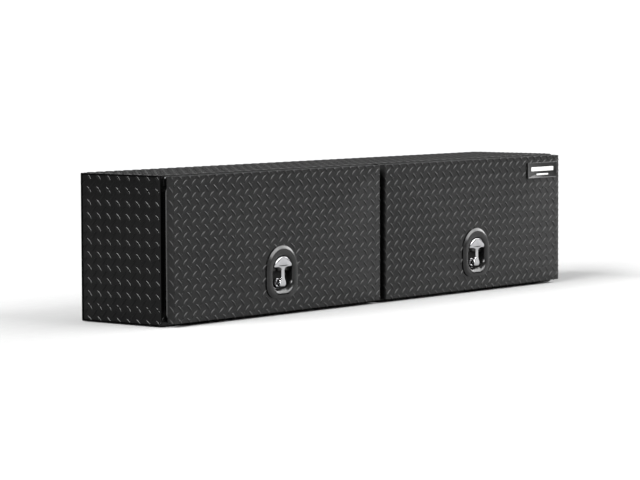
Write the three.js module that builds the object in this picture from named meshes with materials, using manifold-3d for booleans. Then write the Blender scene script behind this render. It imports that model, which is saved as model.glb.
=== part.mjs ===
// A topsider truck tool box: a tread-plate body with two lift-up doors side by side.
// Units are millimetres. +X runs along the box, +Y goes to its back and +Z goes up.
// The origin is on the ground, under the middle of the whole box. Inside this file, depth (y) is
// measured from the front plane of the body frame, and the top group shifts everything at the end.
import * as THREE from "three";
import { mergeVertices } from "three/addons/utils/BufferGeometryUtils.js";
import Module from "manifold-3d";

const wasm = await Module();
wasm.setup();

// ---------- driving dimensions ----------
const BOX = { length: 1828.8, height: 406.4, depth: 293.7, sheet: 2.5, bend: 5 };
const GAP = 0.3; // clearance left between pieces that touch
const OVERLAP = 1; // how far the blocks that make up one piece run into each other
const PAST = 60; // how far a cutting block reaches past what it cuts
const HEADER_BOTTOM = 361.4; // lower edge of the frame's top rail
const SILL_TOP = 45; // upper edge of the frame's bottom rail
const END = { inset: 1, flange: 25, stile: 45, stileDepth: 12 };
const POST = { width: 101.6, depth: 30 };

const DOOR = {
  width: 889, centre: 457.2, bottom: 8.7, top: 403, face: -36.5, edge: -11, sheet: 2.5, bend: 3,
};
const LINER = { sheet: 1.6, top: 398, shaftHole: 14 };
const SEAL = { inset: 8, width: 12, top: 376, corner: 20 };

const HINGE = {
  y: -5.2, z: 398.8, radius: 4.2, bore: 2.7, pin: 2.35, sheet: 1.6, knuckles: 11, gap: 0.6, inset: 1,
};
const HINGE_LEAF_BOTTOM = 377;
const HINGE_LEAF_FRONT = -33.5;

const LATCH = { z: 90, shaft: 7, shaftHole: 7.7, shaftEnd: 14 };
const PAN = { half: 67, bottom: 49, top: 194.5, corner: 38, front: -42.5, back: -37.9, round: 4 };
const WELL = { half: 42.5, bottom: 66, top: 165.5, corner: 30, lip: 6, wall: 2.5, floor: -16, floorSheet: 2 };
const SHELF = { bottom: 121, front: -28 }; // the step that makes the well shallow behind the handle's cap
const GASKET = { inset: 2, front: -37.6, back: -36.8 };
const COLLAR = { radius: 12.4, rim: 9.2, front: -20.5, dish: -18.5 };
const TONGUE = { half: 4.5, y: -34 };
const HANDLE = { front: -43, back: -36.5, round: 1.5 };
const CAP = { half: 38, bottom: 136, shoulder: 141, top: 163.5, chamfer: 2 };
const STEM = { half: 7.2, fillet: 10, waist: 102 }; // the narrow stem, and where it starts to widen
const FOOT = {
  half: 13.4, bottom: 81, corner: 5, shoulder: 97, cheekTop: 99, cheekBack: -28.5, cheekCorner: 4,
};
const SLOT_HALF = 5.1;
const CAM = { half: 13, bottom: 46.2, front: 3.2, sheet: 3, round: 12.99 };
const NUT = { radius: 12, thick: 6 };
const STRIKE = { half: 30, bottom: 14, leg: 25, sheet: 2.5 };
const BADGE = { x: [727.6, 884.6], z: [333, 382], front: -39.4, back: -38, corner: 4 };

// Gas struts: pivot on the box and stud on the door, in the plane of the strut (y, z).
const STRUT = { base: [240, 150], stud: [16, 326], tube: 8.5, rod: 4, bore: 4.4, eye: 7, eyeHalf: 4.5 };
const STRUT_TUBE = { start: 14, end: 178, boreStart: 44 }; // distances from its pivot
const STRUT_ROD_START = 48; // where the rod begins inside the tube
const STRUT_PLANES = { outer: 845, inner: 80 }; // distance of each strut from the middle of the box
const BRACKET = { offset: 10, sheet: 2.5, half: 12, foot: 25, stud: 4, edge: 5, clearance: 0.5 };

const SHIFT_Y = -(BOX.depth + HANDLE.front) / 2;

// ---------- solids ----------
function solid(geometry) {
  const bare = geometry.clone();
  bare.deleteAttribute("normal");
  bare.deleteAttribute("uv");
  const merged = mergeVertices(bare, 1e-4);
  return new wasm.Manifold(new wasm.Mesh({
    numProp: 3,
    vertProperties: new Float32Array(merged.attributes.position.array),
    triVerts: new Uint32Array(merged.index.array),
  }));
}

function geometryOf(manifold) {
  const mesh = manifold.getMesh();
  const geometry = new THREE.BufferGeometry();
  geometry.setAttribute("position", new THREE.BufferAttribute(new Float32Array(mesh.vertProperties), 3));
  geometry.setIndex(new THREE.BufferAttribute(new Uint32Array(mesh.triVerts), 1));
  geometry.computeVertexNormals();
  return geometry;
}

function block(x0, x1, y0, y1, z0, z1) {
  const geometry = new THREE.BoxGeometry(x1 - x0, y1 - y0, z1 - z0);
  geometry.translate((x0 + x1) / 2, (y0 + y1) / 2, (z0 + z1) / 2);
  return solid(geometry);
}

// Shapes drawn in two of the box's axes, pushed along the third.
const ALONG_X = new THREE.Matrix4().makeBasis(
  new THREE.Vector3(0, 1, 0), new THREE.Vector3(0, 0, 1), new THREE.Vector3(1, 0, 0));
const ALONG_Y = new THREE.Matrix4().makeBasis(
  new THREE.Vector3(1, 0, 0), new THREE.Vector3(0, 0, 1), new THREE.Vector3(0, -1, 0));

function extrude(shape, depth, bevel = 0, curveSegments = 2) {
  return new THREE.ExtrudeGeometry(shape, {
    depth: depth - 2 * bevel,
    curveSegments,
    bevelEnabled: bevel > 0,
    bevelThickness: bevel,
    bevelSize: bevel,
    bevelOffset: -bevel,
    bevelSegments: 3,
  }).translate(0, 0, bevel);
}

function alongX(shape, x0, x1, bevel = 0, curveSegments = 2) {
  const geometry = extrude(shape, x1 - x0, bevel, curveSegments);
  return solid(geometry.applyMatrix4(ALONG_X).translate(x0, 0, 0));
}

function alongY(shape, y0, y1, bevel = 0, curveSegments = 2) {
  const geometry = extrude(shape, y1 - y0, bevel, curveSegments);
  return solid(geometry.applyMatrix4(ALONG_Y).translate(0, y1, 0));
}

function alongZ(shape, z0, z1) {
  return solid(extrude(shape, z1 - z0).translate(0, 0, z0));
}

function roundedRect(a0, b0, a1, b1, radius) {
  const shape = new THREE.Shape();
  shape.absarc(a1 - radius, b0 + radius, radius, -Math.PI / 2, 0);
  shape.absarc(a1 - radius, b1 - radius, radius, 0, Math.PI / 2);
  shape.absarc(a0 + radius, b1 - radius, radius, Math.PI / 2, Math.PI);
  shape.absarc(a0 + radius, b0 + radius, radius, Math.PI, 1.5 * Math.PI);
  return shape;
}

// A round-topped outline, as a doorway arch, with rounded lower corners.
function archShape(x, half, bottom, top, corner) {
  const shape = new THREE.Shape();
  shape.absarc(x, top - half, half, 0, Math.PI);
  shape.absarc(x - half + corner, bottom + corner, corner, Math.PI, 1.5 * Math.PI);
  shape.absarc(x + half - corner, bottom + corner, corner, 1.5 * Math.PI, 2 * Math.PI);
  return shape;
}

function grownArch(x, arch, by) {
  return archShape(x, arch.half + by, arch.bottom - by, arch.top + by, arch.corner + by);
}

function circle(a, b, radius) {
  return new THREE.Shape().absarc(a, b, radius, 0, 2 * Math.PI);
}

function rodAlongX(y, z, radius, x0, x1, sides = 5) {
  return alongX(circle(y, z, radius), x0, x1, 0, sides);
}

function rodAlongY(x, z, radius, y0, y1, sides = 6) {
  return alongY(circle(x, z, radius), y0, y1, 0, sides);
}

function turnedAlongY(x, z, profile, segments) {
  const points = profile.map(([radius, y]) => new THREE.Vector2(radius, y));
  return solid(new THREE.LatheGeometry(points, segments).translate(x, 0, z));
}

// A shallow dish bent from sheet: flat face towards low y, four returned edges, open at the back.
function doorDish(x0, x1, z0, z1, face, edge, sheet, bend) {
  const deep = 2 * (edge - face);
  const outer = alongY(roundedRect(x0, z0, x1, z1, 1.2 * bend), face, face + deep, bend);
  const inner = block(x0 + sheet, x1 - sheet, face + sheet, face + deep, z0 + sheet, z1 - sheet);
  return outer.intersect(block(x0, x1, face, edge, z0, z1)).subtract(inner);
}

// ---------- colours ----------
const FINISH = {
  tread: { color: 0x2b2b2c, roughness: 0.45, metalness: 0.35 },
  liner: { color: 0x1d1d1e, roughness: 0.6, metalness: 0.2 },
  rubber: { color: 0x111111, roughness: 0.85, metalness: 0 },
  steel: { color: 0x8d8f92, roughness: 0.35, metalness: 1 },
  chrome: { color: 0xd6d8da, roughness: 0.12, metalness: 1 },
  gloss: { color: 0x151516, roughness: 0.22, metalness: 0.1 },
  badge: { color: 0x0c0c0d, roughness: 0.3, metalness: 0.1 },
};

const box = new THREE.Group();
box.position.y = SHIFT_Y;

function add(name, manifold, finish) {
  const mesh = new THREE.Mesh(geometryOf(manifold), new THREE.MeshStandardMaterial(FINISH[finish]));
  mesh.name = name;
  box.add(mesh);
}

// ---------- body ----------
// One sheet wraps the top, back and bottom and turns down and up at the front as the frame's rails.
function bodyWrap() {
  const { length, height, depth, sheet, bend } = BOX;
  const half = length / 2;
  const outer = alongX(roundedRect(0, 0, depth, height, bend), -half, half);
  const hollow = roundedRect(sheet, sheet, depth - sheet, height - sheet, bend - sheet);
  const inner = alongX(hollow, -half - PAST, half + PAST);
  const mouth = block(-half - PAST, half + PAST, -PAST, 2 * sheet, SILL_TOP, HEADER_BOTTOM);
  return outer.subtract(inner).subtract(mouth);
}

// Each end is a dish set inside the wrap. Its front edge turns in as a stile, level with the rails.
function endPanel(side) {
  const { length, height, depth, sheet, bend } = BOX;
  const face = length / 2 - END.inset;
  const skin = sheet + GAP;
  const outline = roundedRect(skin, skin, depth - skin, height - skin, 1.2 * bend);
  const outer = alongX(outline, face - PAST, face, bend);
  const within = skin + sheet;
  const hollow = block(0, face - sheet, within, depth - within, within, height - within);
  const dish = outer.intersect(block(face - END.flange, face, 0, depth, 0, height)).subtract(hollow);
  const stileBottom = SILL_TOP + GAP;
  const stileTop = HEADER_BOTTOM - GAP;
  const corner = alongZ(roundedRect(face - PAST, 0, face, PAST, bend), stileBottom, stileTop);
  const cut = block(face - 2 * PAST, face - sheet, sheet, 2 * PAST, 0, height);
  const strip = block(length / 2 - END.stile, face, 0, END.stileDepth, 0, height);
  const stile = corner.subtract(cut).intersect(strip);
  const panel = dish.add(stile);
  return side > 0 ? panel : panel.mirror([1, 0, 0]);
}

function centrePost() {
  const half = POST.width / 2;
  const { sheet, bend } = BOX;
  const outline = roundedRect(-half, 0, half, 2 * POST.depth, bend);
  const outer = alongZ(outline, SILL_TOP + GAP, HEADER_BOTTOM - GAP);
  const hollow = block(-half + sheet, half - sheet, sheet, 3 * POST.depth, 0, BOX.height);
  return outer.subtract(hollow).subtract(block(-half, half, POST.depth, 3 * POST.depth, 0, BOX.height));
}

// ---------- doors ----------
function doorSkin(x) {
  const half = DOOR.width / 2;
  const { bottom, top, face, edge, sheet, bend } = DOOR;
  const dish = doorDish(x - half, x + half, bottom, top, face, edge, sheet, bend);
  const hole = grownArch(x, WELL, WELL.wall + GAP);
  return dish.subtract(alongY(hole, face - OVERLAP, face + 2 * sheet, 0, 6));
}

function doorLiner(x) {
  const half = DOOR.width / 2 - DOOR.sheet - GAP;
  const bottom = DOOR.bottom + DOOR.sheet + GAP;
  const plate = block(x - half, x + half, DOOR.edge - LINER.sheet, DOOR.edge, bottom, LINER.top);
  return plate.subtract(rodAlongY(x, LATCH.z, LINER.shaftHole, DOOR.edge - PAST, DOOR.edge + PAST));
}

function doorSeal(x) {
  const half = DOOR.width / 2 - SEAL.inset;
  const bottom = DOOR.bottom + SEAL.inset;
  const { width, corner, top } = SEAL;
  const ring = roundedRect(x - half, bottom, x + half, top, corner);
  const inner = half - width;
  ring.holes.push(roundedRect(x - inner, bottom + width, x + inner, top - width, corner - width));
  return alongY(ring, DOOR.edge + GAP, -GAP);
}

// ---------- hinges ----------
// A continuous hinge: each leaf is a strip with every second knuckle curled on its edge.
function knuckles(x, parity) {
  const length = DOOR.width - 2 * HINGE.inset;
  const pitch = length / HINGE.knuckles;
  const start = x - length / 2;
  const spans = [];
  for (let i = parity; i < HINGE.knuckles; i += 2) {
    spans.push([start + i * pitch + HINGE.gap / 2, start + (i + 1) * pitch - HINGE.gap / 2]);
  }
  return spans;
}

function hingeLeaf(x, parity, plate, web) {
  let leaf = plate;
  for (const [x0, x1] of knuckles(x, parity)) {
    leaf = leaf.add(rodAlongX(HINGE.y, HINGE.z, HINGE.radius, x0, x1)).add(web(x0, x1));
  }
  const half = DOOR.width / 2;
  return leaf.subtract(rodAlongX(HINGE.y, HINGE.z, HINGE.bore, x - half, x + half));
}

function bodyLeaf(x) {
  const half = DOOR.width / 2 - HINGE.inset;
  const back = -GAP;
  const front = back - HINGE.sheet;
  const plateTop = HINGE.z - HINGE.radius - GAP;
  const plate = block(x - half, x + half, front, back, HINGE_LEAF_BOTTOM, plateTop);
  return hingeLeaf(x, 0, plate, (x0, x1) => block(x0, x1, front, back, plateTop - OVERLAP, HINGE.z));
}

function doorLeaf(x) {
  const half = DOOR.width / 2 - DOOR.sheet - GAP;
  const top = DOOR.top - DOOR.sheet - GAP;
  const bottom = top - HINGE.sheet;
  const plateBack = HINGE.y - HINGE.radius - GAP;
  const plate = block(x - half, x + half, HINGE_LEAF_FRONT, plateBack, bottom, top);
  const webBack = HINGE.y - HINGE.bore - GAP;
  return hingeLeaf(x, 1, plate, (x0, x1) => block(x0, x1, plateBack - OVERLAP, webBack, bottom, top));
}

function hingePin(x) {
  const half = DOOR.width / 2 - 1.5 * HINGE.inset;
  return rodAlongX(HINGE.y, HINGE.z, HINGE.pin, x - half, x + half);
}

// ---------- latches ----------
// The pan: a raised bezel with a deep well for the handle. A shelf makes the well's upper part shallower.
function latchPan(x) {
  const bezelDeep = 2 * (PAN.back - PAN.front);
  const bezel = alongY(grownArch(x, PAN, 0), PAN.front, PAN.front + bezelDeep, PAN.round, 6)
    .intersect(block(x - PAN.half, x + PAN.half, PAN.front, PAN.back, 0, BOX.height));
  const cup = alongY(grownArch(x, WELL, WELL.wall), PAN.front + OVERLAP, WELL.floor + WELL.floorSheet, 0, 6);
  const well = alongY(grownArch(x, WELL, 0), PAN.front - OVERLAP, WELL.floor, 0, 6);
  const flare = new THREE.ExtrudeGeometry(grownArch(x, WELL, WELL.lip), {
    depth: OVERLAP, curveSegments: 6, bevelEnabled: true, bevelSegments: 1,
    bevelThickness: WELL.lip, bevelSize: WELL.lip, bevelOffset: -WELL.lip,
  }).applyMatrix4(ALONG_Y).translate(0, PAN.front, 0);
  const shelf = alongY(grownArch(x, WELL, OVERLAP), SHELF.front, WELL.floor + OVERLAP, 0, 6)
    .intersect(block(x - PAN.half, x + PAN.half, SHELF.front, 0, SHELF.bottom, BOX.height));
  const shelfHollow = alongY(grownArch(x, WELL, -WELL.wall), SHELF.front + WELL.floorSheet, 0, 0, 6)
    .intersect(block(x - PAN.half, x + PAN.half, SHELF.front, 0, SHELF.bottom + WELL.wall, BOX.height));
  return bezel.add(cup).subtract(well).subtract(solid(flare)).add(shelf).subtract(shelfHollow)
    .subtract(rodAlongY(x, LATCH.z, LATCH.shaftHole, WELL.floor - OVERLAP, 0));
}

function latchGasket(x) {
  const ring = grownArch(x, PAN, -GASKET.inset);
  ring.holes.push(grownArch(x, WELL, WELL.wall + GAP));
  return alongY(ring, GASKET.front, GASKET.back, 0, 6);
}

// The hub turns in the pan: a dished collar, a tongue for the handle and a shaft that carries the cam.
function latchHub(x) {
  const { radius, rim, front, dish } = COLLAR;
  const collarBack = WELL.floor - GAP;
  const turned = turnedAlongY(x, LATCH.z, [
    [0, dish], [rim, dish], [rim, front], [radius, front], [radius, collarBack],
    [LATCH.shaft, collarBack], [LATCH.shaft, LATCH.shaftEnd], [0, LATCH.shaftEnd],
  ], 20);
  const { half, y } = TONGUE;
  const tongue = block(x - half, x + half, y, dish + OVERLAP, LATCH.z - half, LATCH.z + half)
    .add(rodAlongX(y, LATCH.z, half, x - half, x + half));
  return turned.add(tongue).subtract(handlePinBore(x));
}

function handlePinBore(x) {
  return rodAlongX(TONGUE.y, LATCH.z, HINGE.bore, x - 2 * FOOT.half, x + 2 * FOOT.half);
}

// The handle seen from the front: a domed cap on a stem that widens into a square foot.
function handleOutline(x) {
  const rise = CAP.top - CAP.shoulder;
  const radius = (CAP.half ** 2 + rise ** 2) / (2 * rise);
  const sweep = Math.asin(CAP.half / radius);
  const neck = CAP.bottom - STEM.fillet;
  const toe = FOOT.half - FOOT.corner;
  const heel = FOOT.bottom + FOOT.corner;
  const shape = new THREE.Shape();
  shape.absarc(x, CAP.top - radius, radius, Math.PI / 2 - sweep, Math.PI / 2 + sweep);
  shape.lineTo(x - CAP.half + CAP.chamfer, CAP.bottom);
  shape.quadraticCurveTo(x - STEM.half, CAP.bottom - CAP.chamfer, x - STEM.half, neck);
  shape.bezierCurveTo(
    x - STEM.half, STEM.waist, x - FOOT.half, FOOT.shoulder, x - FOOT.half, heel);
  shape.absarc(x - toe, heel, FOOT.corner, Math.PI, 1.5 * Math.PI);
  shape.absarc(x + toe, heel, FOOT.corner, 1.5 * Math.PI, 2 * Math.PI);
  shape.bezierCurveTo(x + FOOT.half, FOOT.shoulder, x + STEM.half, STEM.waist, x + STEM.half, neck);
  shape.quadraticCurveTo(x + STEM.half, CAP.bottom - CAP.chamfer, x + CAP.half - CAP.chamfer, CAP.bottom);
  return shape;
}

// The handle folds flat in the well. Its foot is forked over the hub's tongue.
function latchHandle(x) {
  const blade = alongY(handleOutline(x), HANDLE.front, HANDLE.back, HANDLE.round, 4);
  const { half, bottom, cheekTop, cheekBack, cheekCorner } = FOOT;
  const cheekOutline = roundedRect(x - half, bottom, x + half, cheekTop, cheekCorner);
  const cheeks = alongY(cheekOutline, HANDLE.back - 2 * OVERLAP, cheekBack);
  const slot = block(x - SLOT_HALF, x + SLOT_HALF, TONGUE.y - SLOT_HALF, 0, 0, LATCH.z + SLOT_HALF);
  return blade.add(cheeks).subtract(slot).subtract(handlePinBore(x));
}

function latchPin(x) {
  const half = FOOT.half - HINGE.inset;
  return rodAlongX(TONGUE.y, LATCH.z, HINGE.pin, x - half, x + half);
}

function latchCam(x) {
  const bar = roundedRect(x - CAM.half, CAM.bottom, x + CAM.half, LATCH.z + CAM.half, CAM.round);
  bar.holes.push(circle(x, LATCH.z, LATCH.shaftHole));
  return alongY(bar, CAM.front, CAM.front + CAM.sheet, 0, 5);
}

function camNut(x) {
  const front = CAM.front + CAM.sheet + GAP;
  const hexagon = new THREE.Shape();
  for (let i = 0; i < 6; i++) {
    const angle = (i * Math.PI) / 3;
    const point = [x + NUT.radius * Math.cos(angle), LATCH.z + NUT.radius * Math.sin(angle)];
    if (i === 0) hexagon.moveTo(...point);
    else hexagon.lineTo(...point);
  }
  hexagon.holes.push(circle(x, LATCH.z, LATCH.shaftHole));
  return alongY(hexagon, front, front + NUT.thick, 0, 5);
}

// The strike is an angle fixed behind the bottom rail, which the cam swings down behind.
function strike(x) {
  const back = BOX.sheet + GAP;
  const { half, bottom, leg, sheet } = STRIKE;
  return block(x - half, x + half, back, back + sheet, bottom, SILL_TOP)
    .add(block(x - half, x + half, back, back + leg, bottom, bottom + sheet));
}

// ---------- gas struts ----------
// A piece that lies along the strut is drawn along +X from the pivot, then turned into the strut's line.
const strutRun = [STRUT.stud[0] - STRUT.base[0], STRUT.stud[1] - STRUT.base[1]];
const STRUT_LENGTH = Math.hypot(...strutRun);
const STRUT_ANGLE = Math.atan2(strutRun[1], strutRun[0]);

function alongStrut(x, radius, from, to) {
  const geometry = new THREE.CylinderGeometry(radius, radius, to - from, 12);
  geometry.translate(0, (from + to) / 2, 0).rotateX(STRUT_ANGLE);
  return solid(geometry.translate(x, ...STRUT.base));
}

function strutTube(x) {
  const [y, z] = STRUT.base;
  const neck = alongStrut(x, STRUT.rod, 0, STRUT_TUBE.start + OVERLAP);
  const tube = alongStrut(x, STRUT.tube, STRUT_TUBE.start, STRUT_TUBE.end).add(neck);
  const eye = rodAlongX(y, z, STRUT.eye, x - STRUT.eyeHalf, x + STRUT.eyeHalf, 6);
  const bore = alongStrut(x, STRUT.bore, STRUT_TUBE.boreStart, STRUT_TUBE.end + OVERLAP);
  return tube.add(eye).subtract(bore);
}

function strutRod(x) {
  const [y, z] = STRUT.stud;
  const eye = rodAlongX(y, z, STRUT.eye, x - STRUT.eyeHalf, x + STRUT.eyeHalf, 6);
  return alongStrut(x, STRUT.rod, STRUT_ROD_START, STRUT_LENGTH).add(eye);
}

// A bracket: a web beside the strut with a stud towards it, and a foot on a flat wall at y = wall.
// Inward is +1 when the wall is behind the bracket and -1 when it is in front.
function strutBracket(x, side, [y, z], wall, inward) {
  const { offset, sheet, half, foot, stud, edge, clearance } = BRACKET;
  const ordered = (a, b) => [Math.min(a, b), Math.max(a, b)];
  const near = x + side * offset;
  const [webLow, webHigh] = ordered(near, near + side * sheet);
  const [footLow, footHigh] = ordered(near, near + side * foot);
  const face = wall - inward * GAP;
  const [y0, y1] = ordered(face, y - inward * (stud + edge));
  const [f0, f1] = ordered(face, face - inward * sheet);
  const [s0, s1] = ordered(x + side * (STRUT.eyeHalf + clearance), near + side * OVERLAP);
  return block(webLow, webHigh, y0, y1, z - half, z + half)
    .add(block(footLow, footHigh, f0, f1, z - half, z + half))
    .add(rodAlongX(y, z, stud, s0, s1));
}

// ---------- assembly ----------
add("body_wrap", bodyWrap(), "tread");
add("left_end_panel", endPanel(-1), "tread");
add("right_end_panel", endPanel(1), "tread");
add("centre_post", centrePost(), "tread");

for (const [name, sign] of [["left", -1], ["right", 1]]) {
  const x = sign * DOOR.centre;
  add(`${name}_door_skin`, doorSkin(x), "tread");
  add(`${name}_door_liner`, doorLiner(x), "liner");
  add(`${name}_door_seal`, doorSeal(x), "rubber");
  add(`${name}_hinge_body_leaf`, bodyLeaf(x), "liner");
  add(`${name}_hinge_door_leaf`, doorLeaf(x), "liner");
  add(`${name}_hinge_pin`, hingePin(x), "steel");
  add(`${name}_latch_pan`, latchPan(x), "gloss");
  add(`${name}_latch_gasket`, latchGasket(x), "rubber");
  add(`${name}_latch_hub`, latchHub(x), "chrome");
  add(`${name}_latch_handle`, latchHandle(x), "chrome");
  add(`${name}_handle_pin`, latchPin(x), "steel");
  add(`${name}_latch_cam`, latchCam(x), "steel");
  add(`${name}_cam_nut`, camNut(x), "steel");
  add(`${name}_strike`, strike(x), "steel");
  for (const [place, distance] of Object.entries(STRUT_PLANES)) {
    const plane = sign * distance;
    const side = place === "outer" ? sign : -sign;
    const backWall = BOX.depth - BOX.sheet;
    add(`${name}_${place}_strut_base`, strutBracket(plane, side, STRUT.base, backWall, 1), "steel");
    add(`${name}_${place}_strut_tube`, strutTube(plane), "liner");
    add(`${name}_${place}_strut_rod`, strutRod(plane), "chrome");
    add(`${name}_${place}_strut_arm`, strutBracket(plane, side, STRUT.stud, DOOR.edge, -1), "steel");
  }
}

function badgePlate() {
  const { x, z, front, back, corner } = BADGE;
  return alongY(roundedRect(x[0], z[0], x[1], z[1], corner), front, back);
}
add("badge_plate", badgePlate(), "badge");

export default box;
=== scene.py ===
"""The looks of a black tread-plate truck tool box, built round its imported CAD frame.

Lengths are in metres. +X runs along the box, -Y is the side with the doors and +Z is up.
Every place is worked out from the CAD nodes' own boxes and a few driving dimensions.
"""
import math

import bmesh
import bpy
from mathutils import Matrix, Vector

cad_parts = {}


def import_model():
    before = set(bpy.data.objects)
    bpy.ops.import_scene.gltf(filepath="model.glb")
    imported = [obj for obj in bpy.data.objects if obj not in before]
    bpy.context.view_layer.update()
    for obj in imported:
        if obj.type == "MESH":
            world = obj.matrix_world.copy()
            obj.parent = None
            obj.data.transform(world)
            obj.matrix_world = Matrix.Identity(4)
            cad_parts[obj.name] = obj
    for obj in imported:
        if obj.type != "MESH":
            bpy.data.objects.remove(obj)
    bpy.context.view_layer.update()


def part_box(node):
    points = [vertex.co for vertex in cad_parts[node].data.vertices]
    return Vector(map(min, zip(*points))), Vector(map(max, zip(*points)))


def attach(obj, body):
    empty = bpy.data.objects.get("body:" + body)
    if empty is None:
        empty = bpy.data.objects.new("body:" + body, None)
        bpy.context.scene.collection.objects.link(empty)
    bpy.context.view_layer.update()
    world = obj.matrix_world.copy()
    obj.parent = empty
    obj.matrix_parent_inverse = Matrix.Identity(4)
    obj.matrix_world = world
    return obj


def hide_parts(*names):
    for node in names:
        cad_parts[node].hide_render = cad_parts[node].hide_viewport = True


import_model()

MM = 0.001
SIDES = (("left", -1), ("right", 1))

# Tread plate: lugs stand on the sheet and reach the CAD model's outer faces.
LUG = dict(height=1.3 * MM, length=31 * MM, width=8 * MM, fullness=2.4, blunt=0.03, shortest=0.35,
           stations=13)
# Across a lug: (share of its half width, share of its height).
LUG_PROFILE = ((-1, 0), (-0.7, 0.68), (-0.34, 0.95), (0, 1), (0.34, 0.95), (0.7, 0.68), (1, 0))
PITCH = (36.1 * MM, 35.35 * MM)  # along and up
TOP_PHASE = (12 * MM, 15 * MM)
END_PHASE = (11.9 * MM, 7.2 * MM)  # from the front and from the ground
POST_PHASE = (10 * MM, 10 * MM)
DOOR_PHASES = {"left": (-2.9 * MM, -6 * MM), "right": (2 * MM, -8.2 * MM)}  # from its middle and the ground
SHEET = 2.5 * MM
SKIN = LUG["height"]  # how far the plain sheet lies below the lugs' tops
WALL = SHEET - SKIN
BODY_BEND = 5 * MM
TIGHT_BEND = 1.8 * MM
INNER_BEND = 0.1 * MM  # inside a tight bend
FIT = 0.3 * MM  # the gap between parts that fit together
END_INSET = 1 * MM  # how far the end panels' faces lie inside the wrap's ends


# ---------- places taken from the frame ----------
def low(node):
    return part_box(node)[0]


def high(node):
    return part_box(node)[1]


def middle(node):
    return (low(node) + high(node)) / 2


FRONT_Y = low("centre_post").y  # the plane of the body's front rails
BACK_Y = high("body_wrap").y
TOP_Z = high("body_wrap").z
HALF_LENGTH = high("body_wrap").x
SILL_TOP = low("centre_post").z
LATCH_Z = middle("left_handle_pin").z
HEADER_BOTTOM = high("centre_post").z


# ---------- mesh building ----------
# Flat faces above this area are shaded flat, so a bend's shading stays on the bend.
LARGE_FACE = 400 * MM * MM


class Builder:
    """Collects closed shells, then becomes one mesh with outward faces."""

    def __init__(self):
        self.bm = bmesh.new()

    def ring(self, points):
        return [self.bm.verts.new(p) for p in points]

    def bridge(self, a, b):
        count = len(a)
        for i in range(count):
            j = (i + 1) % count
            self.bm.faces.new((a[i], a[j], b[j], b[i]))

    def cap(self, ring):
        return self.bm.faces.new(ring)

    def fan(self, ring, point):
        centre = self.bm.verts.new(point)
        for i, vert in enumerate(ring):
            self.bm.faces.new((vert, ring[(i + 1) % len(ring)], centre))

    def fill(self, *rings):
        """Fills the flat area inside the first ring and outside the others."""
        edges = []
        for ring in rings:
            for i, vert in enumerate(ring):
                other = ring[(i + 1) % len(ring)]
                edges.append(self.bm.edges.get((vert, other)) or self.bm.edges.new((vert, other)))
        bmesh.ops.triangle_fill(self.bm, edges=edges, use_beauty=True)

    def loft(self, rings, cap_start=True, cap_end=True, close=False):
        made = [self.ring(points) for points in rings]
        for a, b in zip(made, made[1:]):
            self.bridge(a, b)
        if close:
            self.bridge(made[-1], made[0])
            return made
        if cap_start:
            self.cap(made[0])
        if cap_end:
            self.cap(made[-1])
        return made

    def prism_x(self, section, x0, x1):
        """Runs a closed section of (y, z) points along X."""
        self.loft([[Vector((x, y, z)) for y, z in section] for x in (x0, x1)])

    def prism_z(self, section, z0, z1):
        """Runs a closed section of (x, y) points up Z."""
        self.loft([[Vector((x, y, z)) for x, y in section] for z in (z0, z1)])

    def arrays(self, verts, faces):
        mesh = bpy.data.meshes.new("part")
        mesh.from_pydata(verts, [], faces)
        self.bm.from_mesh(mesh)
        bpy.data.meshes.remove(mesh)

    def piece(self, name, material, body, replaces=(), slot=None, sharp=35):
        bmesh.ops.recalc_face_normals(self.bm, faces=self.bm.faces)
        mesh = bpy.data.meshes.new(name)
        self.bm.to_mesh(mesh)
        self.bm.free()
        mesh.materials.append(material)
        for polygon in mesh.polygons:
            flat = max(abs(n) for n in polygon.normal) > 0.9999
            polygon.use_smooth = not (flat and polygon.area > LARGE_FACE)
        mesh.set_sharp_from_angle(angle=math.radians(sharp))
        obj = bpy.data.objects.new(name, mesh)
        bpy.context.scene.collection.objects.link(obj)
        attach(obj, body)
        if replaces:
            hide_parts(*replaces)
        return obj


def arc(centre_a, centre_b, radius, start, end, steps):
    """Points on an arc in a plane, angles in degrees."""
    out = []
    for i in range(steps + 1):
        angle = math.radians(start + (end - start) * i / steps)
        out.append((centre_a + radius * math.cos(angle), centre_b + radius * math.sin(angle)))
    return out


def rounded_rect(a0, b0, a1, b1, radius, steps=6):
    r = min(radius, (a1 - a0) / 2 - 1e-5, (b1 - b0) / 2 - 1e-5)
    return (arc(a1 - r, b0 + r, r, -90, 0, steps) + arc(a1 - r, b1 - r, r, 0, 90, steps)
            + arc(a0 + r, b1 - r, r, 90, 180, steps) + arc(a0 + r, b0 + r, r, 180, 270, steps))


def quarter(across, deep, steps=6):
    """(across, deep) pairs round a quarter of an ellipse, from the flat face to the side."""
    return [(across * (1 - math.sin(t)), deep * (1 - math.cos(t)))
            for t in (math.pi / 2 * i / steps for i in range(steps + 1))]


def full_turn(steps):
    """Evenly spaced angles round a full turn."""
    return [2 * math.pi * i / steps for i in range(steps)]


def circle(centre, side, up, radius, steps):
    return [centre + (side * math.cos(t) + up * math.sin(t)) * radius for t in full_turn(steps)]


class Plane:
    """A flat face: a and b run along it, and d goes down into the piece from the outside."""

    def __init__(self, origin, a, b, inward):
        self.origin, self.a, self.b, self.inward = map(Vector, (origin, a, b, inward))

    def at(self, a, b, d=0.0):
        return self.origin + self.a * a + self.b * b + self.inward * d

    def ring(self, outline, d=0.0):
        return [self.at(a, b, d) for a, b in outline]


X, Y, Z = Vector((1, 0, 0)), Vector((0, 1, 0)), Vector((0, 0, 1))


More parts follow.
